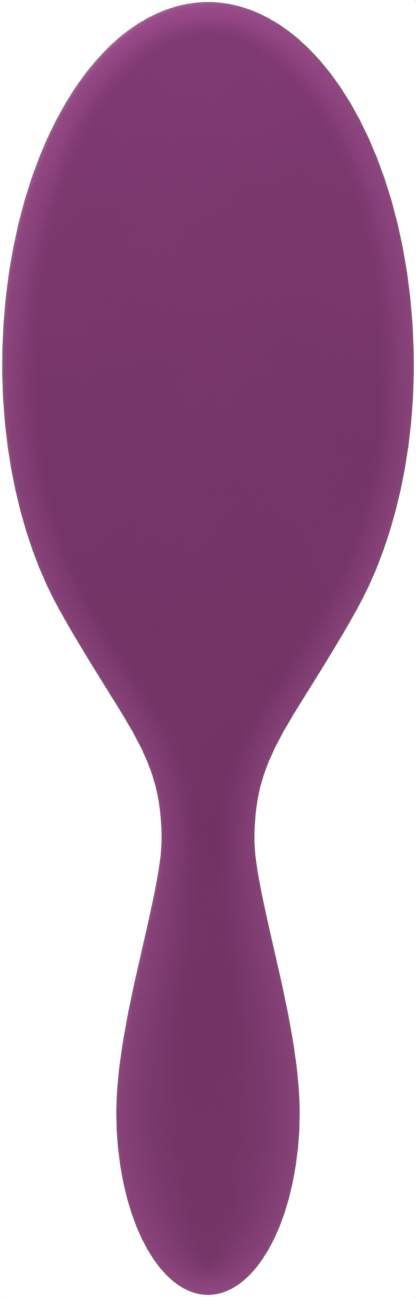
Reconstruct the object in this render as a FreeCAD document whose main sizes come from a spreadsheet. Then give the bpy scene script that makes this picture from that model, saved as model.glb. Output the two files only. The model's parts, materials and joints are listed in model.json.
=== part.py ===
import FreeCAD, Part
import Sketcher
import math
import os

# A cushioned detangling brush, lying on its flat back with the bristles up.
# X runs across the head, Y along the brush towards the head's tip, and Z up out of the bristle side.
# The origin is under the middle of the brush, in the plane of the flat back. Lengths are in millimetres.

Vector = FreeCAD.Vector
UP = Vector(0, 0, 1)
BACK = -1
FRONT = 1

# Driving sizes: name, value, what it measures
SIZES = (
    ("overall_length", 225.0, "handle end to head tip"),
    ("head_width", 71.7, "widest part of the head"),
    ("head_tip_length", 63.2, "widest part of the head to its tip"),
    ("head_root_length", 61.6, "half length of the oval that the lower head follows"),
    ("shoulder_drop", 42.8, "widest part of the head down to where the flanks leave the oval"),
    ("neck_width", 16.2, "narrowest part of the neck"),
    ("grip_width", 32.0, "widest part of the handle"),
    ("grip_from_end", 31.8, "handle end to the widest part of the handle"),
    ("seam_height", 8.0, "height of the seam between the two shells"),
    ("head_thickness", 14.0, "back of the head to the face of its frame"),
    ("neck_front_height", 12.8, "front of the neck above the plane of the back"),
    ("neck_back_rise", 2.0, "back of the neck above the plane of the back"),
    ("grip_thickness", 17.6, "thickness of the handle at its widest"),
    ("back_rim", 6.0, "plan width of the rounded rim round the back of the head"),
    ("front_rim", 4.4, "plan width of the rounded rim round the front of the head"),
    ("wall", 2.2, "thickness of the moulded shells"),
    ("seam_ease", 0.25, "how far the eased outside edges of the seam are drawn in"),
    ("frame_side_flat", 2.65, "flat of the frame between its rounded rim and the window, at the sides"),
    ("frame_tip_flat", 4.3, "the same at the head's tip"),
    ("frame_root_flat", 2.7, "the same at the root, measured from the oval that the lower head follows"),
    ("window_round", 0.9, "rounding of the window's front edge"),
    ("cushion_gap", 0.2, "gap all round between the cushion and the window"),
    ("membrane", 1.8, "thickness of the rubber cushion's wall"),
    ("flange_width", 1.7, "how far the cushion's flange reaches past its side"),
    ("flange_thickness", 1.6, "thickness of the flange, and the space it is trapped in"),
    ("dome_drop", 1.2, "start of the dome below the face of the frame"),
    ("crown_height", 4.0, "top of the dome above the face of the frame"),
    ("vent_diameter", 1.8, "vent hole in the cushion"),
    ("vent_margin", 3.6, "vent hole's centre to the cushion's end"),
    ("field_side_margin", 4.8, "side of the window to the outermost bristle"),
    ("field_end_margin", 6.5, "end of the window to the last row of bristles"),
    ("bristle_reach", 18.6, "end of a bristle above the cushion"),
    ("bristle_root_diameter", 1.0, "bristle where it leaves its button"),
    ("bristle_end_diameter", 0.8, "bristle at its far end"),
    ("button_diameter", 2.5, "button head behind the membrane"),
    ("button_thickness", 0.8, "thickness of the button head"),
    ("button_gap", 0.25, "button to the membrane's underside"),
    ("hole_gap", 0.06, "gap all round between a bristle and its hole"),
    ("tip_diameter", 1.6, "dipped ball on a bristle's end"),
    ("tip_cover", 1.05, "length of bristle inside its ball"),
    ("tip_gap", 0.02, "gap between a bristle's end and its ball"),
    ("peg_diameter", 3.0, "locating peg of the front shell"),
    ("peg_reach", 4.0, "peg below the seam"),
    ("peg_gap", 0.05, "gap all round between a peg and its socket"),
    ("socket_diameter", 6.4, "socket boss of the back shell"),
    ("socket_spare", 0.6, "socket depth beyond the peg's end"),
    ("overrun", 1.0, "how far a cutting shape runs past what it cuts"),
)

# Bristle rows on each side of the middle row, and bristles on each side of the middle in the widest row
HALF_ROWS = 8
HALF_COLUMNS = 4

# Sizes that follow from the driving ones: name, formula, what it measures
FOLLOWING_SIZES = (
    (
        "window_width",
        "head_width - 2 * (front_rim + frame_side_flat)",
        "width of the oval window in the front shell",
    ),
    (
        "window_length",
        "head_tip_length + head_root_length - 2 * front_rim - frame_tip_flat - frame_root_flat",
        "length of the oval window",
    ),
    (
        "row_pitch",
        f"(window_length / 2 - field_end_margin) / {HALF_ROWS}",
        "spacing of the bristle rows along the brush",
    ),
    (
        "bristle_pitch",
        f"(window_width / 2 - field_side_margin) / {HALF_COLUMNS}",
        "spacing of the bristles within a row",
    ),
)

# Pull of the outline's curves at their ends, as shares of the length of brush that each curve spans
shoulder_pull_share = 0.504
neck_top_pull_share = 0.373
neck_low_pull_share = 0.208
grip_pull_share = 0.336

# The handle's rounded sides take this share of the way to its centre line
crown_share = 0.8
# The waist of the neck takes these shares of the way up to the shoulder and down to the grip
back_waist_shares = (0.72, 0.62)
front_waist_shares = (0.4, 0.7)
# Bristles lean out by this share of the dome's own slope
splay_share = 0.5
# The eased edge of the seam takes this share of the first step round the rim
ease_step_share = 0.2
# An edge counts as the window's own within this share of the window's size
lip_tolerance_share = 0.0001
# A control point of an even cubic curve lies out from its point by this share of the bend there
pole_shift_share = 1 / 6
# Place of the neck, as a share of the way from the shoulder to the widest part of the handle
neck_place_share = 0.454
# Places of the locating pegs: two as shares of the way from the handle's end to the neck,
# and one as a share of the way from the neck to the cushion's seat
handle_peg_shares = (0.2, 0.56)
neck_peg_share = 0.6
# The oval that bounds the bristle field lies this share outside its last rows
field_slack_share = 0.04

# Steps along each stretch of the outline, and round the shells' rounded edges
TIP_STEPS = 12
SIDE_STEPS = 6
FLANK_STEPS = 8
HANDLE_STEPS = 8
END_STEPS = 9
ROUND_STEPS = 8
DEGREE = 3

doc = FreeCAD.newDocument("detangling_brush")
sheet = doc.addObject("Spreadsheet::Sheet", "Sizes")
for line, (alias, value, meaning) in enumerate(SIZES, start=1):
    sheet.set(f"A{line}", alias)
    sheet.set(f"B{line}", str(value))
    sheet.set(f"C{line}", meaning)
    sheet.setAlias(f"B{line}", alias)
for line, (alias, formula, meaning) in enumerate(FOLLOWING_SIZES, start=len(SIZES) + 1):
    sheet.set(f"A{line}", alias)
    sheet.set(f"B{line}", f"={formula}")
    sheet.set(f"C{line}", meaning)
    sheet.setAlias(f"B{line}", alias)
doc.recompute()


def size(alias):
    """A driving size, read from the sheet."""
    return float(sheet.get(alias))


overall_length = size("overall_length")
seam_height = size("seam_height")
wall = size("wall")
membrane = size("membrane")

# Places along the brush
tip_y = overall_length / 2
end_y = -overall_length / 2
head_y = tip_y - size("head_tip_length")
shoulder_y = head_y - size("shoulder_drop")
grip_y = end_y + size("grip_from_end")
neck_y = shoulder_y + neck_place_share * (grip_y - shoulder_y)
window_y = tip_y - size("front_rim") - size("frame_tip_flat") - size("window_length") / 2
window_end_y = window_y - size("window_length") / 2
seat_end_y = window_end_y + size("cushion_gap") - size("flange_width")
WINDOW_Y = "(Sizes.overall_length / 2 - Sizes.front_rim - Sizes.frame_tip_flat - Sizes.window_length / 2)"

# Heights of the cushion's seat, written once for the bound objects
FRAME_UNDERSIDE = "(Sizes.head_thickness - Sizes.wall)"
FLANGE_BOTTOM = f"({FRAME_UNDERSIDE} - Sizes.flange_thickness)"
DOME_BASE = "(Sizes.head_thickness - Sizes.dome_drop)"
DOME_RISE = "(Sizes.crown_height + Sizes.dome_drop)"
CUSHION_WIDTH = "(Sizes.window_width - 2 * Sizes.cushion_gap)"
CUSHION_LENGTH = "(Sizes.window_length - 2 * Sizes.cushion_gap)"


# The outline

def ease(share):
    """A smooth step from 0 to 1, level at both ends."""
    share = min(max(share, 0), 1)
    return (1 - math.cos(math.pi * share)) / 2


def on_ellipse(middle_y, half_width, half_length, angle):
    """A point of an oval on the centre line, and its travel towards the handle's end."""
    point = Vector(half_width * math.cos(angle), middle_y + half_length * math.sin(angle), 0)
    travel = Vector(half_width * math.sin(angle), -half_length * math.cos(angle), 0)
    return point, travel


def on_curve(corners, share):
    """A point of a four-corner curve, and its travel."""
    first, second, third, last = corners
    left = 1 - share
    point = first * left**3 + last * share**3
    point += (second * left + third * share) * (3 * share * left)
    travel = (second - first) * left**2 + (third - second) * (2 * share * left) + (last - third) * share**2
    return point, travel


def outline_stations():
    """The right-hand outline from head tip to handle end.

    Each station is a point, its inward normal, the handle's crown width there and the share of that crown.
    """
    head_half = size("head_width") / 2
    neck_half = size("neck_width") / 2
    grip_half = size("grip_width") / 2
    end_radius = grip_half**2 / size("grip_from_end")
    root_length = size("head_root_length")
    shoulder_angle = -math.asin(size("shoulder_drop") / root_length)
    flank = shoulder_y - neck_y
    shaft = neck_y - grip_y

    shoulder, shoulder_travel = on_ellipse(head_y, head_half, root_length, shoulder_angle)
    pull = shoulder_travel * (shoulder_pull_share * flank / -shoulder_travel.y)
    neck = Vector(neck_half, neck_y, 0)
    grip = Vector(grip_half, grip_y, 0)
    along = Vector(0, 1, 0)
    flank_curve = (shoulder, shoulder + pull, neck + along * (neck_top_pull_share * flank), neck)
    neck_low = neck - along * (neck_low_pull_share * shaft)
    shaft_curve = (neck, neck_low, grip + along * (grip_pull_share * shaft), grip)

    traced = []
    for step in range(TIP_STEPS):
        angle = math.pi / 2 * (1 - step / TIP_STEPS)
        traced.append((on_ellipse(head_y, head_half, size("head_tip_length"), angle), 0))
    for step in range(SIDE_STEPS):
        angle = shoulder_angle * step / SIDE_STEPS
        traced.append((on_ellipse(head_y, head_half, root_length, angle), 0))
    for step in range(FLANK_STEPS):
        share = step / FLANK_STEPS
        traced.append((on_curve(flank_curve, share), ease(share)))
    for step in range(HANDLE_STEPS):
        traced.append((on_curve(shaft_curve, step / HANDLE_STEPS), 1))
    for step in range(END_STEPS + 1):
        angle = -math.pi / 2 * step / END_STEPS
        traced.append((on_ellipse(grip_y, grip_half, size("grip_from_end"), angle), 1))

    stations = []
    for index, ((point, travel), share) in enumerate(traced):
        inward = Vector(travel.y, -travel.x, 0).normalize()
        at_end = index == len(traced) - 1
        to_middle = end_radius if at_end else neck_half
        if share == 1 and not at_end:
            to_middle = point.x / -inward.x
        stations.append((point, inward, crown_share * to_middle, share))
    return stations


STATIONS = outline_stations()
SHOULDER_STATION = TIP_STEPS + SIDE_STEPS
GRIP_STATION = SHOULDER_STATION + FLANK_STEPS + HANDLE_STEPS
END_STATION = GRIP_STATION + END_STEPS


# The two moulded shells

def rim_width(station, side):
    """Plan width of a shell's rounded rim at a station."""
    point, inward, crown, share = STATIONS[station]
    head_rim = size("back_rim") if side == BACK else size("front_rim")
    return head_rim + (crown - head_rim) * share


def landing(station, side):
    """Where a shell's rounded rim meets its land."""
    point, inward, crown, share = STATIONS[station]
    return point + inward * rim_width(station, side)


# The head's flat ends at the shoulder on the back, and past the window's end on the front
FLAT_STATION = {
    BACK: SHOULDER_STATION,
    FRONT: next(
        station
        for station in range(SHOULDER_STATION, GRIP_STATION)
        if landing(station, FRONT).y < window_end_y - size("window_round")
    ),
}


def waist_top(side):
    """Where the head's level ends above the neck: at the waist's share of the flank, and clear of the flat."""
    up_share, down_share = back_waist_shares if side == BACK else front_waist_shares
    own_top = neck_y + up_share * (shoulder_y - neck_y)
    return min(own_top, landing(FLAT_STATION[side] + 1, side).y)


def land_height(place_y, side):
    """Height of a shell's outside along the middle: level at the head and the grip, waisted at the neck."""
    if side == BACK:
        head_level, neck_level, grip_level = 0, size("neck_back_rise"), 0
        up_share, down_share = back_waist_shares
    else:
        head_level, neck_level = size("head_thickness"), size("neck_front_height")
        grip_level = size("grip_thickness")
        up_share, down_share = front_waist_shares
    above = (place_y - neck_y) / (waist_top(side) - neck_y)
    below = (neck_y - place_y) / (down_share * (neck_y - grip_y))
    return neck_level + (head_level - neck_level) * ease(above) + (grip_level - neck_level) * ease(below)


def poles_through(points):
    """Control points of an even cubic curve that follows the inner points in plan.

    Heights are kept as they are, so that the curve never dips below the flats that it joins.
    """
    poles = []
    for before, here, after in zip(points, points[1:], points[2:]):
        pole = here + (here * 2 - before - after) * pole_shift_share
        poles.append(Vector(pole.x, pole.y, here.z))
    return poles


def mirrored(points):
    """The same points on the other side of the brush."""
    return [Vector(-point.x, point.y, point.z) for point in points]


def rim_surface(side, inset):
    """The rounded edge of one shell's right-hand half, from the seam to the land.

    The inset is nothing for the outside and the wall's thickness for the inside.
    """
    # Control points of an even cubic round lie this much further out than the round itself
    swell = 3 / (2 + math.cos(math.pi / 2 / ROUND_STEPS))
    rows = []
    for station, (point, inward, crown, share) in enumerate(STATIONS):
        rim = rim_width(station, side)
        depth = abs(land_height(landing(station, side).y, side) - seam_height) - inset
        row = []
        for step in range(-1, ROUND_STEPS + 2):
            angle = math.pi / 2 * step / ROUND_STEPS
            place = point + inward * (inset + (rim - inset) * (1 - swell * math.cos(angle)))
            row.append(Vector(place.x, place.y, seam_height + side * depth * swell * math.sin(angle)))
        rows.append(row)
    before = [mirrored(rows[2]), mirrored(rows[1])]
    after = [mirrored(rows[-2]), mirrored(rows[-3])]
    columns = [poles_through(column) for column in zip(*(before + rows + after))]
    poles = [list(row) for row in zip(*columns)]
    along_knots = list(range(-DEGREE, END_STATION + DEGREE + 1))
    round_knots = list(range(-DEGREE, ROUND_STEPS + DEGREE + 1))
    along_mults = [1] * len(along_knots)
    round_mults = [1] * len(round_knots)
    surface = Part.BSplineSurface()
    surface.buildFromPolesMultsKnots(
        poles, along_mults, round_mults, along_knots, round_knots, False, False, DEGREE, DEGREE
    )
    return surface


def other_side(shape):
    """The mirror image of a face or edge across the brush's centre line."""
    return shape.mirror(Vector(0, 0, 0), Vector(1, 0, 0))


def wire_of(edges):
    return Part.Wire(Part.__sortEdges__(edges))


def skin_faces(side, inset, ease):
    """Faces of one side of a shell (rounded rims, two flat lands and the waist) and its edges at the seam.

    An outside skin draws its seam edges in by the ease, with a narrow bevel.
    """
    whole = rim_surface(side, inset)
    drawn_in = rim_surface(side, inset + ease)
    rim_start = ease_step_share if ease else 0
    faces = []
    seam_edges = []
    flat_station = FLAT_STATION[side]
    for first, last in ((0, flat_station), (flat_station, GRIP_STATION), (GRIP_STATION, END_STATION)):
        stretch = whole.copy()
        stretch.segment(first, last, rim_start, ROUND_STEPS)
        faces += [stretch.toShape(), other_side(stretch.toShape())]
        seam_stretch = drawn_in.copy()
        seam_stretch.segment(first, last, 0, ROUND_STEPS)
        seam_edge = seam_stretch.vIso(0).toShape()
        seam_edges += [seam_edge, other_side(seam_edge)]
        if ease:
            bevel = Part.makeRuledSurface(seam_edge, stretch.vIso(rim_start).toShape())
            faces += [bevel, other_side(bevel)]
        land_edge = stretch.vIso(ROUND_STEPS).toShape()
        land_edges = [land_edge, other_side(land_edge)]
        if first == flat_station:
            faces.append(Part.makeRuledSurface(*land_edges))
            continue
        closing = land_edge.lastVertex() if first == 0 else land_edge.firstVertex()
        start = closing.Point
        land_edges.append(Part.makeLine(start, Vector(-start.x, start.y, start.z)))
        faces.append(Part.Face(wire_of(land_edges)))
    return faces, seam_edges


def hollow_shell(name, side):
    """One moulded half: outside, inside and the flat seam face between them."""
    outside, outside_edges = skin_faces(side, 0, size("seam_ease"))
    inside, inside_edges = skin_faces(side, wall, 0)
    seam_face = Part.makeFace([wire_of(outside_edges), wire_of(inside_edges)], "Part::FaceMakerBullseye")
    shell = Part.Shell(outside + inside + [seam_face])
    shell.sewShape()
    solid = Part.Solid(shell)
    if solid.Volume < 0:
        solid.reverse()
    half = doc.addObject("Part::Feature", name)
    half.Shape = solid
    return half


# Bound building blocks

def bind(thing, **expressions):
    """Ties properties to the sheet. A double underline stands for a point in a property's path."""
    for path, expression in expressions.items():
        thing.setExpression(path.replace("__", "."), expression)
    return thing


def oval_prism(name, width, length, low, high):
    """An upright oval block on the window's centre."""
    oval = doc.addObject("Part::Ellipse", f"{name}_oval")
    oval.Placement.Rotation = FreeCAD.Rotation(UP, 90)
    bind(
        oval,
        MajorRadius=f"({length}) / 2",
        MinorRadius=f"({width}) / 2",
        Placement__Base__y=WINDOW_Y,
        Placement__Base__z=low,
    )
    prism = doc.addObject("Part::Extrusion", name)
    prism.Base = oval
    prism.DirMode = "Custom"
    prism.Dir = UP
    prism.Solid = True
    bind(prism, LengthFwd=f"({high}) - ({low})")
    return prism


def dome(name, base):
    """Half of an oval ball over the cushion's plan, standing on a level."""
    half_ball = doc.addObject("Part::Ellipsoid", name)
    half_ball.Angle1 = 0
    bind(
        half_ball,
        Radius1=DOME_RISE,
        Radius2=f"{CUSHION_WIDTH} / 2",
        Radius3=f"{CUSHION_LENGTH} / 2",
        Placement__Base__y=WINDOW_Y,
        Placement__Base__z=base,
    )
    return half_ball


def cut(name, base, tool):
    result = doc.addObject("Part::Cut", name)
    result.Base = base
    result.Tool = tool
    return result


def fuse(name, shapes):
    result = doc.addObject("Part::MultiFuse", name)
    result.Shapes = shapes
    return result


def peg_cylinder(name, diameter, place_y, low, high):
    """An upright round bar on the handle's centre line."""
    bar = doc.addObject("Part::Cylinder", name)
    bar.Height = high - low
    bar.Placement.Base = Vector(0, place_y, low)
    return bind(bar, Radius=f"({diameter}) / 2")


peg_places = [end_y + share * (neck_y - end_y) for share in handle_peg_shares]
peg_places.append(neck_y + neck_peg_share * (seat_end_y - neck_y))


def make_back_shell():
    """The back half, with the wall that carries the cushion's flange and the sockets for the pegs."""
    skin = hollow_shell("back_skin", BACK)
    reach = "2 * Sizes.flange_width"
    seat_low = "Sizes.wall / 2"
    seat_block = oval_prism(
        "seat_block", f"{CUSHION_WIDTH} + {reach}", f"{CUSHION_LENGTH} + {reach}", seat_low, FLANGE_BOTTOM
    )
    seat_space = oval_prism(
        "seat_space", CUSHION_WIDTH, CUSHION_LENGTH, seat_low, f"{FLANGE_BOTTOM} + Sizes.overrun"
    )
    pieces = [skin, cut("cushion_seat", seat_block, seat_space)]
    bores = []
    for number, place_y in enumerate(peg_places, start=1):
        floor = land_height(place_y, BACK) + wall / 2
        socket = peg_cylinder(f"socket_{number}", "Sizes.socket_diameter", place_y, floor, seam_height)
        pieces.append(socket)
        bore_low = seam_height - size("peg_reach") - size("socket_spare")
        bore_high = seam_height + size("overrun")
        bore_diameter = "Sizes.peg_diameter + 2 * Sizes.peg_gap"
        bores.append(peg_cylinder(f"socket_bore_{number}", bore_diameter, place_y, bore_low, bore_high))
    return cut("back_shell", fuse("back_solid", pieces), fuse("socket_bores", bores))


def on_window_lip(edge):
    """Whether an edge runs round the front of the window."""
    middle = edge.valueAt((edge.FirstParameter + edge.LastParameter) / 2)
    across = 2 * middle.x / size("window_width")
    along = 2 * (middle.y - window_y) / size("window_length")
    on_wall = abs(math.hypot(across, along) - 1) < lip_tolerance_share
    return on_wall and middle.z > size("head_thickness") - wall / 2


def make_front_shell():
    """The front half: the window with its rounded lip, and the pegs."""
    skin = hollow_shell("front_skin", FRONT)
    window = oval_prism(
        "window",
        "Sizes.window_width",
        "Sizes.window_length",
        f"{FRAME_UNDERSIDE} - Sizes.overrun",
        "Sizes.head_thickness + Sizes.overrun",
    )
    framed = cut("framed_skin", skin, window)
    doc.recompute()
    lip = [edge for edge in framed.Shape.Edges if on_window_lip(edge)]
    frame = doc.addObject("Part::Feature", "front_frame")
    frame.Shape = framed.Shape.makeFillet(size("window_round"), lip)
    pegs = []
    for number, place_y in enumerate(peg_places, start=1):
        ceiling = land_height(place_y, FRONT) - wall / 2
        low = seam_height - size("peg_reach")
        pegs.append(peg_cylinder(f"peg_{number}", "Sizes.peg_diameter", place_y, low, ceiling))
    return fuse("front_shell", [frame] + pegs)


# The bristle field

cushion_half_width = size("window_width") / 2 - size("cushion_gap")
cushion_half_length = size("window_length") / 2 - size("cushion_gap")
dome_base = size("head_thickness") - size("dome_drop")
dome_rise = size("crown_height") + size("dome_drop")


def dome_point(x, y):
    """A point on the cushion's outside, and its slope across and along the brush."""
    across = x / cushion_half_width
    along = (y - window_y) / cushion_half_length
    height = math.sqrt(1 - across**2 - along**2)
    slope_x = -dome_rise * across / (cushion_half_width * height)
    slope_y = -dome_rise * along / (cushion_half_length * height)
    return Vector(x, y, dome_base + dome_rise * height), slope_x, slope_y


def bristle_rows():
    """Rows from the head's tip to the neck, each a list of points on the cushion and bristle directions."""
    pitch = size("bristle_pitch")
    rows = []
    for index in range(HALF_ROWS, -HALF_ROWS - 1, -1):
        outward_share = index / HALF_ROWS / (1 + field_slack_share)
        reach_count = HALF_COLUMNS * (1 + field_slack_share) * math.sqrt(1 - outward_share**2)
        first_share = 0 if index % 2 == 0 else 1 / 2
        half_row = [pitch * (step + first_share) for step in range(int(reach_count - first_share) + 1)]
        places = sorted({side * x for x in half_row for side in (-1, 1)})
        row = []
        for x in places:
            point, slope_x, slope_y = dome_point(x, window_y + index * size("row_pitch"))
            lean = Vector(-slope_x * splay_share, -slope_y * splay_share, 1).normalize()
            row.append((point, lean))
        rows.append(row)
    return rows


ROWS = bristle_rows()
button_depth = membrane + size("button_gap") + size("button_thickness")


def placed(shape, point, lean):
    """A copy of a bristle piece, set with its button behind the membrane and leaning with the dome."""
    copy = shape.copy()
    copy.Placement = FreeCAD.Placement(point - lean * button_depth, FreeCAD.Rotation(UP, lean))
    return copy


def make_cushion():
    """The domed membrane with its flange, a hole for each bristle and the vent."""
    reach = "2 * Sizes.flange_width"
    inside = "2 * Sizes.membrane"
    dome_outside = dome("dome_outside", DOME_BASE)
    skirt_block = oval_prism("skirt_block", CUSHION_WIDTH, CUSHION_LENGTH, FLANGE_BOTTOM, DOME_BASE)
    flange_block = oval_prism(
        "flange_block",
        f"{CUSHION_WIDTH} + {reach}",
        f"{CUSHION_LENGTH} + {reach}",
        FLANGE_BOTTOM,
        FRAME_UNDERSIDE,
    )
    blank = fuse("cushion_blank", [dome_outside, skirt_block, flange_block])

    # The space inside is the same dome a membrane lower, held within the skirt's wall
    dome_inside = dome("dome_inside", f"({DOME_BASE} - Sizes.membrane)")
    inner_plan = (f"{CUSHION_WIDTH} - {inside}", f"{CUSHION_LENGTH} - {inside}")
    within_wall = oval_prism("within_wall", *inner_plan, FLANGE_BOTTOM, f"{DOME_BASE} + {DOME_RISE}")
    vault = doc.addObject("Part::MultiCommon", "vault")
    vault.Shapes = [dome_inside, within_wall]
    skirt_space = oval_prism(
        "skirt_space", *inner_plan, f"{FLANGE_BOTTOM} - Sizes.overrun", f"{DOME_BASE} - Sizes.membrane / 2"
    )
    hollow = cut("cushion_hollow", blank, fuse("cushion_space", [vault, skirt_space]))

    depth = membrane + size("overrun")
    length = depth + size("overrun")
    radius = size("bristle_root_diameter") / 2 + size("hole_gap")
    field = [bristle_place for row in ROWS for bristle_place in row]
    holes = [Part.makeCylinder(radius, length, point - lean * depth, lean) for point, lean in field]
    vent_top, slope_x, slope_y = dome_point(0, window_y - cushion_half_length + size("vent_margin"))
    holes.append(Part.makeCylinder(size("vent_diameter") / 2, length, vent_top - UP * depth, UP))
    drill = doc.addObject("Part::Feature", "cushion_holes")
    drill.Shape = Part.makeCompound(holes)
    return cut("cushion", hollow, drill)


def make_bristle():
    """One bristle, standing on its button: a half profile turned about the bristle's axis."""
    top = ("button_thickness", "button_gap", "membrane", "bristle_reach")
    corners = (
        ("button_diameter", ()),
        ("button_diameter", ("button_thickness",)),
        ("bristle_root_diameter", ("button_thickness",)),
        ("bristle_end_diameter", top),
        (None, top),
        (None, ()),
    )
    body = doc.addObject("PartDesign::Body", "bristle")
    plane = next(item for item in body.Origin.OriginFeatures if item.Role == "XZ_Plane")
    sketch = body.newObject("Sketcher::SketchObject", "bristle_profile")
    sketch.AttachmentSupport = (plane, [""])
    sketch.MapMode = "FlatFace"
    points = [
        Vector(size(diameter) / 2 if diameter else 0, sum(size(part) for part in heights), 0)
        for diameter, heights in corners
    ]
    for start, finish in zip(points, points[1:] + points[:1]):
        sketch.addGeometry(Part.LineSegment(start, finish))
    for line in range(len(corners)):
        sketch.addConstraint(Sketcher.Constraint("Coincident", line, 2, (line + 1) % len(corners), 1))
    for line, (diameter, heights) in enumerate(corners):
        if diameter:
            across = sketch.addConstraint(Sketcher.Constraint("DistanceX", -1, 1, line, 1, points[line].x))
            sketch.setExpression(f"Constraints[{across}]", f"Sizes.{diameter} / 2")
        else:
            sketch.addConstraint(Sketcher.Constraint("PointOnObject", line, 1, -2))
        if heights:
            up = sketch.addConstraint(Sketcher.Constraint("DistanceY", -1, 1, line, 1, points[line].y))
            sketch.setExpression(f"Constraints[{up}]", " + ".join(f"Sizes.{part}" for part in heights))
        else:
            sketch.addConstraint(Sketcher.Constraint("PointOnObject", line, 1, -1))
    turned = body.newObject("PartDesign::Revolution", "bristle_turned")
    turned.Profile = sketch
    turned.ReferenceAxis = (sketch, ["V_Axis"])
    turned.Angle = 360
    return body


def make_tip():
    """One dipped ball, standing where it sits on a bristle, with the bore that takes the bristle's end."""
    bristle_end = "(Sizes.button_thickness + Sizes.button_gap + Sizes.membrane + Sizes.bristle_reach)"
    ball_low = f"({bristle_end} - Sizes.tip_cover)"
    ball = doc.addObject("Part::Sphere", "tip_ball")
    bind(ball, Radius="Sizes.tip_diameter / 2", Placement__Base__z=f"{ball_low} + Sizes.tip_diameter / 2")
    bore = doc.addObject("Part::Cylinder", "tip_bore")
    bind(
        bore,
        Radius="Sizes.bristle_end_diameter / 2 + Sizes.tip_gap",
        Height="Sizes.overrun + Sizes.tip_cover + Sizes.tip_gap",
        Placement__Base__z=f"{ball_low} - Sizes.overrun",
    )
    return cut("tip", ball, bore)


def row_node(name, shape, row):
    """All the copies of one piece in a row of bristles."""
    node = doc.addObject("Part::Feature", name)
    node.Shape = Part.makeCompound([placed(shape, point, lean) for point, lean in row])
    return node


# Assembly

parts = [make_back_shell(), make_front_shell(), make_cushion()]
bristle = make_bristle()
tip = make_tip()
doc.recompute()
for number, row in enumerate(ROWS, start=1):
    parts.append(row_node(f"bristles_row_{number:02d}", bristle.Shape, row))
    parts.append(row_node(f"tips_row_{number:02d}", tip.Shape, row))
    middle = sum(point.z for point, lean in row) / len(row) - membrane / 2
    print(f"row {number:02d}: {len(row)} bristles, rocks about y {row[0][0].y:.3f}, z {middle:.3f}")
doc.recompute()

for item in doc.Objects:
    if "Invalid" in item.State or "Error" in item.State:
        raise RuntimeError(f"{item.Label} failed: {item.State}")
for node in parts:
    if node.Shape.isNull() or not node.Shape.isValid():
        raise RuntimeError(f"{node.Label} has no valid shape")

os.makedirs("parts", exist_ok=True)
for node in parts:
    node.Label = node.Name
    node.Shape.exportStep(f"parts/{node.Label}.step")
    if len(node.Shape.Solids) == 1:
        box = node.Shape.BoundBox
        print(f"{node.Label}: {node.Shape.Volume:.1f} mm3, z {box.ZMin:.3f} to {box.ZMax:.3f}")
print(f"{len(parts)} nodes, {sum(len(node.Shape.Solids) for node in parts)} solids")
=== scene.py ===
# %% [markdown]
# # A cushioned detangling brush
# The brush lies on its flat back with the bristles up, the way it is put down on a shelf. The photograph
# looks straight at that back, so its camera stands under the table top and looks up. The frame is a set
# of solids that already have their sizes and joints. It is loaded first, and every finish and every
# softer shape below is built around it, in the same place and the same scale.

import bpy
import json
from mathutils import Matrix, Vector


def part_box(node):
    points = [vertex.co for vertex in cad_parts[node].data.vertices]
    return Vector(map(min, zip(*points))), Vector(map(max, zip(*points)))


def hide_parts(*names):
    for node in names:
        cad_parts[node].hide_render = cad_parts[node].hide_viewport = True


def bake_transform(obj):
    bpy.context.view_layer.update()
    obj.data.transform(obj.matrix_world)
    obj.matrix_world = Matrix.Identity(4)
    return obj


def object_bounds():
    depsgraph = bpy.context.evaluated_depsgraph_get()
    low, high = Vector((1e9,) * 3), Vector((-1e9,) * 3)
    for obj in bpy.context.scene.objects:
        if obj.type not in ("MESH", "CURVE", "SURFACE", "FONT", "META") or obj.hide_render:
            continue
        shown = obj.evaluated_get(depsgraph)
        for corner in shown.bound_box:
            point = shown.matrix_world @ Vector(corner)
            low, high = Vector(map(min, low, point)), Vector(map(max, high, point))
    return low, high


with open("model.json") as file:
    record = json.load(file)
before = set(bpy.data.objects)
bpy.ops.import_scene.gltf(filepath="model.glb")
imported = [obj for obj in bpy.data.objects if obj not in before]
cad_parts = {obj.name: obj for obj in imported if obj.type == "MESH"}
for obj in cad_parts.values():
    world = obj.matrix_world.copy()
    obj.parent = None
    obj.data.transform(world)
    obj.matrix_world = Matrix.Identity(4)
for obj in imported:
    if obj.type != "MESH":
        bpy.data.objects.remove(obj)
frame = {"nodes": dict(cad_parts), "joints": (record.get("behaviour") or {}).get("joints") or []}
cad_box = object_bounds()

# %% [markdown]
# ## Working in millimetres
# Blender counts in metres, and a brush is thought of in millimetres, so one small function turns a
# measured point into Blender's units. The first thing worth measuring is the frame itself.

# %% Millimetres
import json
import math

import bpy
from mathutils import Vector

scene = bpy.context.scene


def mm(*lengths):
    """Millimetres to metres: one length, or a point of several."""
    metres = tuple(length / 1000 for length in lengths)
    return metres[0] if len(metres) == 1 else Vector(metres)


frame_size = (cad_box[1] - cad_box[0]) * 1000
print("frame size in mm:", [round(side, 2) for side in frame_size])

# %% [markdown]
# ## Colours and nodes
# A colour picked on a screen is sRGB, and Blender mixes light in linear values. One function converts, so
# every colour below is written as the hex code that a colour picker shows. A material is a small graph of
# nodes. Rather than a helper for each kind of node, one function adds any node, sets it and links it: an
# input that is given a socket is linked, and any other input is set.

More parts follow.
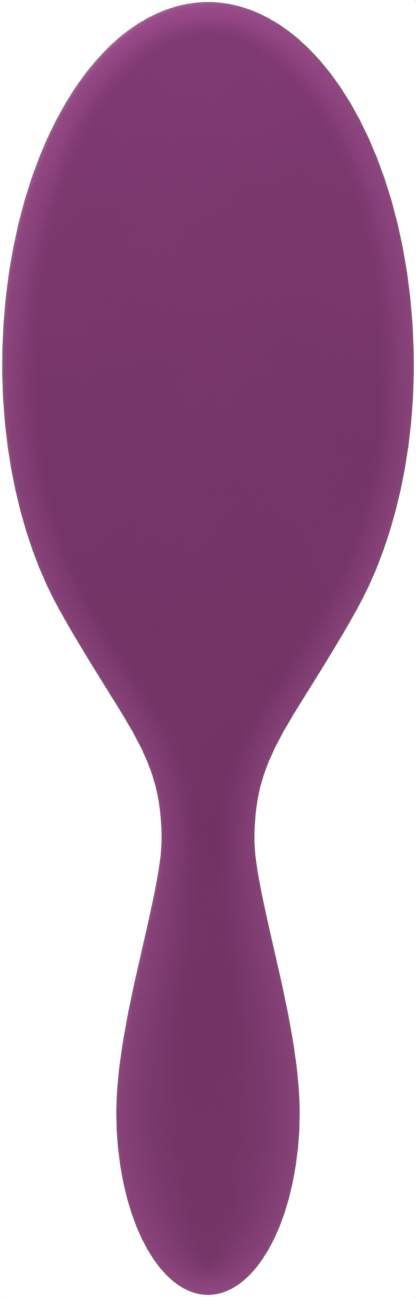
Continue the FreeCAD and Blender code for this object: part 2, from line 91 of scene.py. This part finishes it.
# %% Helpers for materials
def paint(code):
    """An sRGB hex colour as linear red, green, blue and alpha."""
    parts = [int(code[place:place + 2], 16) / 255 for place in (1, 3, 5)]
    linear = [part / 12.92 if part <= 0.04045 else ((part + 0.055) / 1.055) ** 2.4 for part in parts]
    return (*linear, 1.0)


def add_node(tree, kind, settings=None, inputs=None):
    """Adds a node with its settings, and sets or links its inputs."""
    node = tree.nodes.new(kind)
    for name, value in (settings or {}).items():
        setattr(node, name, value)
    for name, value in (inputs or {}).items():
        if isinstance(value, bpy.types.NodeSocket):
            tree.links.new(value, node.inputs[name])
        else:
            node.inputs[name].default_value = value
    return node


def new_finish(name):
    """An empty material and its node tree."""
    finish = bpy.data.materials.new(name)
    finish.use_nodes = True
    finish.node_tree.nodes.clear()
    return finish, finish.node_tree


print("white in linear values:", paint("#FFFFFF"))

# %% [markdown]
# ## Soft-touch coat on moulded ABS
# The back looks like moulded ABS sprayed with a rubbery paint, the kind that feels like peach skin. The
# photograph can't prove that, but the even, matt purple suits it. Such paint holds a matting powder, so
# it hardly shines: here it is rough, and its specular level is half of Blender's usual one. A sheen was
# tried and left out, because the coat looked too grey with it. Spraying leaves two things worth drawing:
# a slow clouding of the colour and a fine grit. Real grit would be finer than 0.1 mm, too fine to show,
# so it is drawn at 0.4 mm. The grip is a little smoother, as hands polish such a coat.

# %% Soft-touch coat
COAT_CLOUD = 25.0
COAT_GRIT = 0.4
GRIT_DEPTH = 0.02
GRIP_START = -20.0
GRIP_END = -70.0
GRIP_POLISH = 0.06


def make_soft_touch():
    """Soft-touch paint: an even, deep colour to the eye, with wide, faint highlights and no reflections."""
    finish, tree = new_finish("soft_touch_coat_on_moulded_abs")
    place = add_node(tree, "ShaderNodeTexCoord").outputs["Object"]
    cloud = add_node(
        tree,
        "ShaderNodeTexNoise",
        inputs={"Vector": place, "Scale": 1 / mm(COAT_CLOUD), "Detail": 3.0, "Roughness": 0.5},
    )
    grit = add_node(
        tree,
        "ShaderNodeTexNoise",
        inputs={"Vector": place, "Scale": 1 / mm(COAT_GRIT), "Detail": 2.0, "Roughness": 0.6},
    )
    colour = add_node(
        tree,
        "ShaderNodeMix",
        settings={"data_type": "RGBA"},
        inputs={0: cloud.outputs["Fac"], 6: paint("#6C2A60"), 7: paint("#722E64")},
    )
    along = add_node(tree, "ShaderNodeSeparateXYZ", inputs={"Vector": place}).outputs["Y"]
    held = add_node(
        tree,
        "ShaderNodeMapRange",
        settings={"interpolation_type": "SMOOTHSTEP"},
        inputs={
            "Value": along,
            "From Min": mm(GRIP_START),
            "From Max": mm(GRIP_END),
            "To Min": 0.0,
            "To Max": GRIP_POLISH,
        },
    )
    matt = add_node(
        tree, "ShaderNodeMapRange", inputs={"Value": grit.outputs["Fac"], "To Min": 0.86, "To Max": 0.96}
    )
    rough = add_node(
        tree,
        "ShaderNodeMath",
        settings={"operation": "SUBTRACT"},
        inputs={0: matt.outputs["Result"], 1: held.outputs["Result"]},
    )
    bump = add_node(
        tree,
        "ShaderNodeBump",
        inputs={"Height": grit.outputs["Fac"], "Strength": 0.15, "Distance": mm(GRIT_DEPTH)},
    )
    coat = add_node(
        tree,
        "ShaderNodeBsdfPrincipled",
        inputs={
            "Base Color": colour.outputs[2],
            "Roughness": rough.outputs["Value"],
            "Normal": bump.outputs["Normal"],
            "IOR": 1.46,
            "Specular IOR Level": 0.25,
        },
    )
    add_node(tree, "ShaderNodeOutputMaterial", inputs={"Surface": coat.outputs["BSDF"]})
    return finish


soft_touch = make_soft_touch()
print("made", soft_touch.name, "with", len(soft_touch.node_tree.nodes), "nodes")

# %% [markdown]
# ## The two shells
# The back shell and the front shell are right as they come: rounded rims, a waisted neck, a fine bevelled
# groove where they meet, and a rounded lip round the window. They only need their coat. A frame solid is
# never reshaped here, so the coat goes straight into its material slot.

# %% Coat the shells
def coat_node(name, finish):
    """Gives a solid of the frame its finish."""
    node = frame["nodes"][name]
    node.data.materials.clear()
    node.data.materials.append(finish)
    return node


for shell_name in ("back_shell", "front_shell"):
    shell = coat_node(shell_name, soft_touch)
    low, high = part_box(shell_name)
    print(shell_name, "from", [round(v * 1000, 1) for v in low], "to", [round(v * 1000, 1) for v in high])

# %% [markdown]
# ## Where the bristles stand
# The bristles stand in 17 rows on a shallow oval dome, in rows that step by half a pitch so that no
# bristle hides behind the next. Each leans out by half of the dome's slope. The cushion needs a hole for
# every one of them, so the same layout is worked out here.

# %% The bristle field
# Lengths are in millimetres, and the layout is that of the solids
HALF_ROWS = 8
HALF_COLUMNS = 4
PITCH = 6.0
FIELD_SLACK = 0.04
DOME_Y = 49.3
DOME_HALF_WIDTH = 28.6
DOME_HALF_LENGTH = 54.3
DOME_BASE = 12.8
DOME_RISE = 5.2
LEAN_SHARE = 0.5


def oval_share(x, y):
    """How far out a point lies on the dome's oval: 0 in the middle, 1 at its edge."""
    return math.hypot(x / DOME_HALF_WIDTH, (y - DOME_Y) / DOME_HALF_LENGTH)


def dome_height(x, y):
    """Height of the dome's outside, in millimetres."""
    return DOME_BASE + DOME_RISE * math.sqrt(max(0.0, 1 - oval_share(x, y) ** 2))


def lean_at(x, y):
    """Sideways travel of a bristle for each millimetre that it rises."""
    fall = DOME_RISE * DOME_RISE / (dome_height(x, y) - DOME_BASE)
    across = LEAN_SHARE * fall * x / DOME_HALF_WIDTH**2
    along = LEAN_SHARE * fall * (y - DOME_Y) / DOME_HALF_LENGTH**2
    return across, along


def field_places():
    """Plan place of every bristle, row by row from the head's tip."""
    places = []
    for row in range(HALF_ROWS, -HALF_ROWS - 1, -1):
        outward = row / HALF_ROWS / (1 + FIELD_SLACK)
        reach = HALF_COLUMNS * (1 + FIELD_SLACK) * math.sqrt(1 - outward**2)
        first = 0.0 if row % 2 == 0 else 0.5
        steps = [PITCH * (step + first) for step in range(int(reach - first) + 1)]
        for x in sorted({side * step for step in steps for side in (-1, 1)}):
            places.append((x, DOME_Y + row * PITCH))
    return places


bristle_places = field_places()
outermost = max(oval_share(x, y) for x, y in bristle_places)
print(len(bristle_places), "bristles, the outermost at", round(outermost, 3), "of the oval")

# %% [markdown]
# ## The holes in the cushion
# A pressed bristle rocks with its row and sinks with the cushion, while the rim of the rubber stays where
# the shells hold it. Real rubber stretches with the pin. A mesh doesn't, so each hole is as long as its
# pin's travel at that height, so that the pins don't cut into the rubber. The rows' hinges and their
# ranges are read from the frame, so that the holes follow them.

# %% How far the pins travel in their holes
PIN_RADIUS = 0.5
PIN_GAP = 0.14
MEMBRANE = 1.8
BEND_START = 11.0
BEND_END = DOME_BASE + DOME_RISE

hinges = [joint for joint in frame["joints"] if joint["type"] == "hinge"]
hinge_heights = {round(joint["pos_m"][1] * 1000, 2): joint["pos_m"][2] * 1000 for joint in hinges}
# All the rows have the same range, so the first hinge gives it
rock = math.tan(math.radians(hinges[0]["range_deg"][1]))
press = next(joint for joint in frame["joints"] if joint["type"] == "slide")["range_m"][1] * 1000


def lag(height):
    """How far the rubber at a height stays behind the pins when the cushion is pressed."""
    share = min(1.0, max(0.0, (height - BEND_START) / (BEND_END - BEND_START)))
    return press * (1 - share * share * (3 - 2 * share))


def hole_size(x, y, height):
    """Half width and half length that a bristle's hole needs at a height."""
    hinge = hinge_heights[round(y, 2)]
    late = lag(height)
    lean = lean_at(x, y)
    travel = rock * max(abs(height - hinge), abs(height + late - hinge)) + abs(lean[1]) * late
    half_length = PIN_RADIUS + PIN_GAP + travel
    # An oval narrows towards its ends, so it is made wide enough for the pin there
    half_width = (PIN_RADIUS + PIN_GAP + abs(lean[0]) * late) / math.sqrt(1 - (travel / half_length) ** 2)
    return half_width, half_length


print("pins rock by", round(rock, 3), "mm for each mm from their hinge, and sink by", press, "mm")

# %% [markdown]
# ## The cushion, in plan
# The cushion is one sheet of soft rubber, moulded as a dome and pierced by the bristles. Round each hole
# the rubber thickens into a low collar, and near the neck there is one vent so that air can leave when it
# is pressed. It could be a subdivided plane with the holes cut by booleans, but that leaves long thin
# faces round every hole. Here the points are laid out on purpose: rings round each hole, rings along the
# edge and an even spread between them. A Delaunay triangulation then joins them into well-shaped
# triangles.

# %% Lay out the cushion's points
from mathutils.geometry import delaunay_2d_cdt
from mathutils.kdtree import KDTree

VENT_RADIUS = 0.9
VENT_INSET = 3.6
VENT_PLACE = (0.0, DOME_Y - DOME_HALF_LENGTH + VENT_INSET)
# Rings round each hole, in millimetres from its mouth, and rings inside the edge as shares of the oval
RING_STEPS = (0.0, 0.12, 0.3, 0.52, 0.8, 1.15, 1.6, 2.1)
RING_POINTS = 20
EDGE_SHARES = (1.0, 0.9985, 0.994, 0.985, 0.97)
EDGE_POINTS = 360
SPREAD = 1.1
MERGE_DISTANCE = 1e-7

# Each hole: its place, and its half width and half length at the sheet's outside, middle and inside
holes = []
for x, y in bristle_places:
    crown = dome_height(x, y)
    holes.append((x, y, [hole_size(x, y, crown - MEMBRANE * depth) for depth in (0, 0.5, 1)]))
holes.append((*VENT_PLACE, [(VENT_RADIUS, VENT_RADIUS)] * 3))
hole_tree = KDTree(len(holes))
for number, (x, y, sizes) in enumerate(holes):
    hole_tree.insert((x, y, 0), number)
hole_tree.balance()


def circle(count, turn=0.0):
    """Evenly spaced directions, counted anticlockwise."""
    angles = [2 * math.pi * (step + turn) / count for step in range(count)]
    return [(math.cos(angle), math.sin(angle)) for angle in angles]


def mouth_distance(x, y, number):
    """How far a point lies from the mouth of a hole."""
    hole_x, hole_y, sizes = holes[number]
    reach = math.hypot((x - hole_x) / sizes[0][0], (y - hole_y) / sizes[0][1])
    return math.hypot(x - hole_x, y - hole_y) * (1 - 1 / max(reach, 1.0))


def nearest_hole(x, y):
    """The number of the hole whose mouth is nearest, and the distance from it."""
    numbers = [found[1] for found in hole_tree.find_n((x, y, 0), 2)]
    number = min(numbers, key=lambda candidate: mouth_distance(x, y, candidate))
    return number, mouth_distance(x, y, number)


def plan_points():
    """Points of the cushion's plan: first the edge, then the mouth of each hole, then all the rest."""
    points = [(DOME_HALF_WIDTH * c, DOME_Y + DOME_HALF_LENGTH * s) for c, s in circle(EDGE_POINTS)]
    for x, y, sizes in holes:
        points += [(x + sizes[0][0] * c, y + sizes[0][1] * s) for c, s in circle(RING_POINTS)]
    for number, (x, y, sizes) in enumerate(holes):
        for ring, step in enumerate(RING_STEPS[1:], start=1):
            for c, s in circle(RING_POINTS, turn=ring / 2):
                point = (x + (sizes[0][0] + step) * c, y + (sizes[0][1] + step) * s)
                if nearest_hole(*point)[0] == number and oval_share(*point) < EDGE_SHARES[-1]:
                    points.append(point)
    for ring, share in enumerate(EDGE_SHARES[1:], start=1):
        for c, s in circle(EDGE_POINTS, turn=ring / 2):
            points.append((DOME_HALF_WIDTH * share * c, DOME_Y + DOME_HALF_LENGTH * share * s))
    lines = int(DOME_HALF_LENGTH / SPREAD * 2 / math.sqrt(3)) + 1
    columns = int(DOME_HALF_WIDTH / SPREAD) + 1
    for line in range(-lines, lines + 1):
        for column in range(-columns, columns + 1):
            point = (SPREAD * (column + line % 2 / 2), DOME_Y + SPREAD * line * math.sqrt(3) / 2)
            # As far inside the last edge ring as that ring is inside the edge
            inside = oval_share(*point) < 2 * EDGE_SHARES[-1] - 1
            if inside and nearest_hole(*point)[1] > RING_STEPS[-1] + SPREAD / 2:
                points.append(point)
    return points


laid = plan_points()
joined = delaunay_2d_cdt([Vector(point) for point in laid], [], [], 0, MERGE_DISTANCE)
print(len(laid), "points laid out,", len(joined[2]), "triangles joined")

# %% [markdown]
# ## The cushion, in the round
# The triangles are lifted onto the dome, with the collars on top. A copy a membrane lower makes the
# inside, walls line every hole, and a skirt with a flange runs round the edge: that flange is what the
# two shells trap. Behind each hole the rubber is a little thinner, so that the button on the bristle can
# tilt there.

# %% Build the cushion
COLLAR_HEIGHT = 0.3
COLLAR_PLACE = 0.5
COLLAR_WIDTH = 0.45
MOUTH_DROP = 0.15
MOUTH_WIDTH = 0.15
BACK_RELIEF = 0.45
RELIEF_FADE = 1.1
EDGE_FADE = 0.04
EDGE_START = 0.85
SHARP_ANGLE = 55.0
# The edge of the cushion from its dome down to its inside: how far out from the dome's side, and the height
EDGE_PROFILE = (
    (0.0, 12.3), (0.0, 11.95), (0.12, 11.78), (1.5, 11.76), (1.62, 11.6),
    (1.62, 10.4), (1.5, 10.25), (-1.6, 10.25), (-1.8, 10.45), (-1.8, 11.0),
)


def collar(distance):
    """Height of the rubber's collar at a distance from the mouth of its hole."""
    crest = COLLAR_HEIGHT * math.exp(-(((distance - COLLAR_PLACE) / COLLAR_WIDTH) ** 2))
    return crest - MOUTH_DROP * math.exp(-((distance / MOUTH_WIDTH) ** 2))


def outside_point(x, y):
    """A point of the cushion's outside."""
    distance = nearest_hole(x, y)[1]
    fade = min(1.0, (1 - oval_share(x, y)) / EDGE_FADE)
    return x, y, dome_height(x, y) + collar(distance) * max(0.0, fade)


def inside_point(x, y):
    """The point of the cushion's inside under a point of its outside."""
    number, distance = nearest_hole(x, y)
    hole_x, hole_y, sizes = holes[number]
    near = max(0.0, 1 - distance / RING_STEPS[-1])
    lean = lean_at(hole_x, hole_y)
    widen = 1 + (sizes[2][0] / sizes[0][0] - 1) * near
    lengthen = 1 + (sizes[2][1] / sizes[0][1] - 1) * near
    x_in = hole_x + (x - hole_x) * widen - lean[0] * MEMBRANE * near
    y_in = hole_y + (y - hole_y) * lengthen - lean[1] * MEMBRANE * near
    draw_in = MEMBRANE * (1 - near) * max(0.0, oval_share(x, y) - EDGE_START) / (1 - EDGE_START)
    x_in *= 1 - draw_in / DOME_HALF_WIDTH
    y_in = DOME_Y + (y_in - DOME_Y) * (1 - draw_in / DOME_HALF_LENGTH)
    relief = BACK_RELIEF * min(1.0, max(0.0, (RING_STEPS[-1] - distance) / RELIEF_FADE))
    return x_in, y_in, dome_height(x_in, y_in) - MEMBRANE + relief


def offset_oval(out):
    """The dome's oval, set out square to its edge by a distance."""
    points = []
    for across, along in circle(EDGE_POINTS):
        square = Vector((across / DOME_HALF_WIDTH, along / DOME_HALF_LENGTH)).normalized()
        x = DOME_HALF_WIDTH * across + out * square.x
        y = DOME_Y + DOME_HALF_LENGTH * along + out * square.y
        points.append((x, y))
    return points


def joining_faces(first, second):
    """Faces between two rings of points that run the same way."""
    count = len(first)
    return [(first[s], first[(s + 1) % count], second[(s + 1) % count], second[s]) for s in range(count)]


def build_cushion():
    """The whole membrane as points and faces: outside, inside, hole walls and edge."""
    plan, triangles, came_from = joined[0], joined[2], joined[3]
    new_number = {old: new for new, olds in enumerate(came_from) for old in olds}
    mouths = []
    for number in range(len(holes)):
        first = EDGE_POINTS + number * RING_POINTS
        mouths.append([new_number[first + step] for step in range(RING_POINTS)])
    mouth_of = {point: number for number, mouth in enumerate(mouths) for point in mouth}
    points = [outside_point(*point) for point in plan] + [inside_point(*point) for point in plan]
    depth = len(plan)
    faces = []
    for corners in triangles:
        owners = {mouth_of.get(corner) for corner in corners}
        if len(owners) == 1 and None not in owners:
            continue
        faces.append(tuple(corners))
        faces.append(tuple(corner + depth for corner in reversed(corners)))
    for (x, y, sizes), mouth in zip(holes, mouths):
        lean = lean_at(x, y)
        middle = (x - lean[0] * MEMBRANE / 2, y - lean[1] * MEMBRANE / 2, dome_height(x, y) - MEMBRANE / 2)
        throat = list(range(len(points), len(points) + RING_POINTS))
        for c, s in circle(RING_POINTS):
            points.append((middle[0] + sizes[1][0] * c, middle[1] + sizes[1][1] * s, middle[2]))
        faces += joining_faces(mouth, throat)
        faces += joining_faces(throat, [point + depth for point in mouth])
    loops = [[new_number[step] for step in range(EDGE_POINTS)]]
    for out, height in EDGE_PROFILE:
        loops.append(list(range(len(points), len(points) + EDGE_POINTS)))
        points += [(x, y, height) for x, y in offset_oval(out)]
    loops.append([point + depth for point in loops[0]])
    for above, below in zip(loops, loops[1:]):
        faces += joining_faces(below, above)
    return points, faces


cushion_points, cushion_faces = build_cushion()
cushion_mesh = bpy.data.meshes.new("cushion_membrane")
cushion_mesh.from_pydata([mm(*point) for point in cushion_points], [], cushion_faces)
cushion_mesh.shade_smooth()
cushion_mesh.set_sharp_from_angle(angle=math.radians(SHARP_ANGLE))
cushion = bpy.data.objects.new("cushion_membrane", cushion_mesh)
scene.collection.objects.link(cushion)
print("cushion:", len(cushion_mesh.vertices), "points,", len(cushion_mesh.polygons), "faces")

# %% [markdown]
# ## Soft moulded rubber
# The cushion is taken to be soft rubber, dyed through and moulded in a lightly blasted tool. It scatters
# light evenly and hardly shines. Such blasting leaves a skin of tiny pits, about 0.1 mm, drawn here at
# 0.5 mm, and the dye is never quite even. Its colour on the real brush is out of the photograph's sight,
# so it takes a darker tone of the body's purple.

# %% Cushion rubber
DYE_CLOUD = 9.0
RUBBER_PITS = 0.5
PIT_DEPTH = 0.03


def make_cushion_rubber():
    """Blasted soft rubber: dull and dark to the eye, with a faint bloom where it turns away."""
    finish, tree = new_finish("dyed_soft_rubber_from_a_blasted_mould")
    place = add_node(tree, "ShaderNodeTexCoord").outputs["Object"]
    dye = add_node(
        tree,
        "ShaderNodeTexNoise",
        inputs={"Vector": place, "Scale": 1 / mm(DYE_CLOUD), "Detail": 4.0, "Roughness": 0.55},
    )
    pits = add_node(
        tree,
        "ShaderNodeTexNoise",
        inputs={"Vector": place, "Scale": 1 / mm(RUBBER_PITS), "Detail": 2.0, "Roughness": 0.5},
    )
    colour = add_node(
        tree,
        "ShaderNodeMix",
        settings={"data_type": "RGBA"},
        inputs={0: dye.outputs["Fac"], 6: paint("#4A2045"), 7: paint("#57294F")},
    )
    matt = add_node(
        tree, "ShaderNodeMapRange", inputs={"Value": pits.outputs["Fac"], "To Min": 0.68, "To Max": 0.84}
    )
    bump = add_node(
        tree,
        "ShaderNodeBump",
        inputs={"Height": pits.outputs["Fac"], "Strength": 0.3, "Distance": mm(PIT_DEPTH)},
    )
    rubber = add_node(
        tree,
        "ShaderNodeBsdfPrincipled",
        inputs={
            "Base Color": colour.outputs[2],
            "Roughness": matt.outputs["Result"],
            "Normal": bump.outputs["Normal"],
            "IOR": 1.42,
            "Sheen Weight": 0.06,
            "Sheen Roughness": 0.5,
        },
    )
    add_node(tree, "ShaderNodeOutputMaterial", inputs={"Surface": rubber.outputs["BSDF"]})
    return finish


cushion_mesh.materials.append(make_cushion_rubber())
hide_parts("cushion")
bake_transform(cushion)
print("the cushion bends between the shells and its crown, over", BEND_END - BEND_START, "mm of height")

# %% [markdown]
# ## Nylon bristles
# Each bristle is taken to be a drawn nylon pin, a millimetre thick at the root and thinner at the end,
# with a button behind the membrane. Nylon is a little translucent, so light that enters it comes out
# nearby: that is subsurface scattering, with a reach of about half a millimetre. Drawing leaves faint
# streaks along the pin, a tenth of a millimetre across, drawn here at 0.25 mm. The pins pale slightly
# towards their ends, where they are thinner.

# %% Bristle nylon
STREAK_WIDTH = 0.25
STREAK_LENGTH = 6.0
ROOT_HEIGHT = 15.0
END_HEIGHT = 36.0
NYLON_GLOW_REACH = 0.5


def make_bristle_nylon():
    """Drawn nylon: a satin gleam along the pin, and edges that glow a little."""
    finish, tree = new_finish("drawn_nylon")
    place = add_node(tree, "ShaderNodeTexCoord").outputs["Object"]
    height = add_node(tree, "ShaderNodeSeparateXYZ", inputs={"Vector": place}).outputs["Z"]
    stretched = add_node(
        tree,
        "ShaderNodeMapping",
        inputs={
            "Vector": place,
            "Scale": (1 / mm(STREAK_WIDTH), 1 / mm(STREAK_WIDTH), 1 / mm(STREAK_LENGTH)),
        },
    )
    streaks = add_node(
        tree,
        "ShaderNodeTexNoise",
        inputs={"Vector": stretched.outputs["Vector"], "Scale": 1.0, "Detail": 2.0},
    )
    rise = add_node(
        tree,
        "ShaderNodeMapRange",
        inputs={
            "Value": height,
            "From Min": mm(ROOT_HEIGHT),
            "From Max": mm(END_HEIGHT),
            "To Min": 0.0,
            "To Max": 0.8,
        },
    )
    share = add_node(
        tree,
        "ShaderNodeMath",
        settings={"operation": "MULTIPLY_ADD"},
        inputs={0: streaks.outputs["Fac"], 1: 0.2, 2: rise.outputs["Result"]},
    )
    colour = add_node(
        tree,
        "ShaderNodeMix",
        settings={"data_type": "RGBA"},
        inputs={0: share.outputs["Value"], 6: paint("#6E2F66"), 7: paint("#9A5A93")},
    )
    gloss = add_node(
        tree, "ShaderNodeMapRange", inputs={"Value": streaks.outputs["Fac"], "To Min": 0.28, "To Max": 0.42}
    )
    nylon = add_node(
        tree,
        "ShaderNodeBsdfPrincipled",
        inputs={
            "Base Color": colour.outputs[2],
            "Roughness": gloss.outputs["Result"],
            "IOR": 1.53,
            "Subsurface Weight": 0.3,
            "Subsurface Radius": (1.0, 0.6, 0.9),
            "Subsurface Scale": mm(NYLON_GLOW_REACH),
        },
    )
    add_node(tree, "ShaderNodeOutputMaterial", inputs={"Surface": nylon.outputs["BSDF"]})
    return finish


bristle_nylon = make_bristle_nylon()
print("made", bristle_nylon.name)

# %% [markdown]
# ## Resin tips
# The bristle ends are taken to be dipped in resin, which draws itself up into a ball and sets glossy. The
# ball is smooth, so it carries a small bright reflection. Its colour is never quite even, and a slow
# noise, about as wide as half a ball, draws that.

# %% Tip resin
RESIN_CLOUD = 0.8
RESIN_GLOW_REACH = 0.4


def make_tip_resin():
    """Dipped resin: a pale bead to the eye, with one small, crisp highlight."""
    finish, tree = new_finish("dipped_resin")
    place = add_node(tree, "ShaderNodeTexCoord").outputs["Object"]
    unevenness = add_node(
        tree,
        "ShaderNodeTexNoise",
        inputs={"Vector": place, "Scale": 1 / mm(RESIN_CLOUD), "Detail": 2.0, "Roughness": 0.4},
    )
    colour = add_node(
        tree,
        "ShaderNodeMix",
        settings={"data_type": "RGBA"},
        inputs={0: unevenness.outputs["Fac"], 6: paint("#A772A6"), 7: paint("#C396BF")},
    )
    gloss = add_node(
        tree,
        "ShaderNodeMapRange",
        inputs={"Value": unevenness.outputs["Fac"], "To Min": 0.12, "To Max": 0.22},
    )
    resin = add_node(
        tree,
        "ShaderNodeBsdfPrincipled",
        inputs={
            "Base Color": colour.outputs[2],
            "Roughness": gloss.outputs["Result"],
            "IOR": 1.52,
            "Subsurface Weight": 0.25,
            "Subsurface Radius": (1.0, 0.7, 0.9),
            "Subsurface Scale": mm(RESIN_GLOW_REACH),
        },
    )
    add_node(tree, "ShaderNodeOutputMaterial", inputs={"Surface": resin.outputs["BSDF"]})
    return finish


tip_resin = make_tip_resin()
row_names = sorted(name for name in frame["nodes"] if name.startswith("bristles_row_"))
for name in row_names:
    coat_node(name, bristle_nylon)
    coat_node(name.replace("bristles", "tips"), tip_resin)
print("finished", len(row_names), "rows of bristles and their tips")

# %% [markdown]
# ## The table top
# A pale table top carries the brush in every view from above. The main camera looks up from below it, so
# the top is one-sided: its underside lets everything through. It is also kept out of the light's way, so
# that lamps below can reach the back of the brush. A faint glow keeps it pale where the lamp's light runs
# out, and it still takes the brush's shadow.

# %% Table top
TABLE_REACH = 6000.0
TABLE_HEIGHT = -0.4
TABLE_COLOUR = paint("#F4F2F3")
TABLE_GLOW = 0.27
table_mesh = bpy.data.meshes.new("table_top")
corners = [(-1, -1), (1, -1), (1, 1), (-1, 1)]
corner_points = [mm(TABLE_REACH * x, TABLE_REACH * y, TABLE_HEIGHT) for x, y in corners]
table_mesh.from_pydata(corner_points, [], [(0, 1, 2, 3)])
table = bpy.data.objects.new("table_top", table_mesh)
scene.collection.objects.link(table)
table_finish, table_tree = new_finish("pale_table_top")
underside = add_node(table_tree, "ShaderNodeNewGeometry").outputs["Backfacing"]
matt_top = add_node(table_tree, "ShaderNodeBsdfDiffuse", inputs={"Color": TABLE_COLOUR})
glow = add_node(table_tree, "ShaderNodeEmission", inputs={"Color": TABLE_COLOUR, "Strength": TABLE_GLOW})
pale = add_node(
    table_tree,
    "ShaderNodeAddShader",
    inputs={0: matt_top.outputs["BSDF"], 1: glow.outputs["Emission"]},
)
clear = add_node(table_tree, "ShaderNodeBsdfTransparent")
one_sided = add_node(
    table_tree,
    "ShaderNodeMixShader",
    inputs={0: underside, 1: pale.outputs["Shader"], 2: clear.outputs["BSDF"]},
)
add_node(table_tree, "ShaderNodeOutputMaterial", inputs={"Surface": one_sided.outputs["Shader"]})
table_mesh.materials.append(table_finish)
for kind in ("visible_diffuse", "visible_glossy", "visible_transmission", "visible_shadow"):
    setattr(table, kind, False)
print("table top at", TABLE_HEIGHT, "mm")

# %% [markdown]
# ## Light
# The photograph has the look of a light tent. The world gives the tent: an even wall in front of the
# back, a dimmer one on the bristle side, and between them a narrow, far brighter band at the height of
# the table, which lights the rims. What the camera sees behind the brush is plain white. Three lamps
# finish it, and their places were tuned until the shading came close to the photograph's. One below the
# table brightens the head's end. A small card does the same for the end of the handle. One above lights
# the bristle side and throws the shadow on the table.

# %% Tent and lamps
TENT_FRONT = 0.75
TENT_BEHIND = 0.4
TENT_SIDE = 5.4
TENT_NARROWNESS = 8.0
WALL_BLEND = 0.2
tent = bpy.data.worlds.new("light_tent")
scene.world = tent
tent.use_nodes = True
tent_tree = tent.node_tree
tent_tree.nodes.clear()
direction = add_node(tent_tree, "ShaderNodeTexCoord").outputs["Generated"]
upward = add_node(tent_tree, "ShaderNodeSeparateXYZ", inputs={"Vector": direction}).outputs["Z"]
steep = add_node(tent_tree, "ShaderNodeMath", settings={"operation": "ABSOLUTE"}, inputs={0: upward})
shallow = add_node(
    tent_tree,
    "ShaderNodeMath",
    settings={"operation": "SUBTRACT"},
    inputs={0: 1.0, 1: steep.outputs["Value"]},
)
band = add_node(
    tent_tree,
    "ShaderNodeMath",
    settings={"operation": "POWER"},
    inputs={0: shallow.outputs["Value"], 1: TENT_NARROWNESS},
)
walls = add_node(
    tent_tree,
    "ShaderNodeMapRange",
    settings={"interpolation_type": "SMOOTHSTEP"},
    inputs={
        "Value": upward,
        "From Min": -WALL_BLEND,
        "From Max": WALL_BLEND,
        "To Min": TENT_FRONT,
        "To Max": TENT_BEHIND,
    },
)
level = add_node(
    tent_tree,
    "ShaderNodeMath",
    settings={"operation": "MULTIPLY_ADD"},
    inputs={0: band.outputs["Value"], 1: TENT_SIDE, 2: walls.outputs["Result"]},
)
lighting = add_node(
    tent_tree,
    "ShaderNodeBackground",
    inputs={"Color": paint("#FFFFFF"), "Strength": level.outputs["Value"]},
)
backdrop = add_node(tent_tree, "ShaderNodeBackground", inputs={"Color": paint("#FFFFFF"), "Strength": 1.0})
seen = add_node(tent_tree, "ShaderNodeLightPath").outputs["Is Camera Ray"]
shown = add_node(
    tent_tree,
    "ShaderNodeMixShader",
    inputs={0: seen, 1: lighting.outputs["Background"], 2: backdrop.outputs["Background"]},
)
add_node(tent_tree, "ShaderNodeOutputWorld", inputs={"Surface": shown.outputs["Shader"]})


def soft_lamp(name, place, aim, width, length, power):
    """A rectangular lamp that faces a point. The camera doesn't see it."""
    lamp_data = bpy.data.lights.new(name, "AREA")
    lamp_data.shape = "RECTANGLE"
    lamp_data.size = width
    lamp_data.size_y = length
    lamp_data.energy = power
    lamp = bpy.data.objects.new(name, lamp_data)
    scene.collection.objects.link(lamp)
    lamp.location = place
    lamp.rotation_euler = (aim - Vector(place)).to_track_quat("-Z", "Y").to_euler()
    lamp.visible_camera = False
    return lamp


below = soft_lamp(
    "lamp_below",
    place=mm(20, 210, -120),
    aim=mm(0, 60, 0),
    width=mm(200),
    length=mm(120),
    power=0.2,
)
card = soft_lamp(
    "card_at_the_handle",
    place=mm(0, -170, -45),
    aim=mm(0, -105, 0),
    width=mm(60),
    length=mm(40),
    power=0.015,
)
above = soft_lamp(
    "lamp_above",
    place=mm(150, 260, 520),
    aim=mm(0, 30, 10),
    width=mm(400),
    length=mm(300),
    power=2.2,
)
print("lamps:", [(lamp.name, round(lamp.data.energy, 3)) for lamp in (below, card, above)])

# %% [markdown]
# ## Camera
# The photograph is square on to the back with hardly any perspective, so the lens is long and the camera
# far away. The frame is 416 by 1297 pixels, and the brush fills it almost from edge to edge. The widest
# outline is at the seam between the shells, so that is the level whose scale is matched.

# %% Camera
IMAGE_HEIGHT = 1297
# Millimetres on the brush for each pixel, at the height of the seam
PIXEL = 0.17402
SEAM = 8.0
# Lens and sensor are in millimetres, and the far clip is in metres, as Blender takes them
LENS = 200.0
SENSOR = 36.0
CLIP_END = 100.0
camera_data = bpy.data.cameras.new("photo_camera")
camera_data.lens = LENS
camera_data.sensor_width = SENSOR
camera = bpy.data.objects.new("photo_camera", camera_data)
scene.collection.objects.link(camera)
distance = IMAGE_HEIGHT * PIXEL * LENS / SENSOR
camera.location = mm(0, 0, SEAM - distance)
camera.rotation_euler = (0, math.pi, 0)
camera_data.clip_end = CLIP_END
scene.camera = camera
scene.view_settings.view_transform = "Standard"
print("camera", round(distance), "mm from the seam")
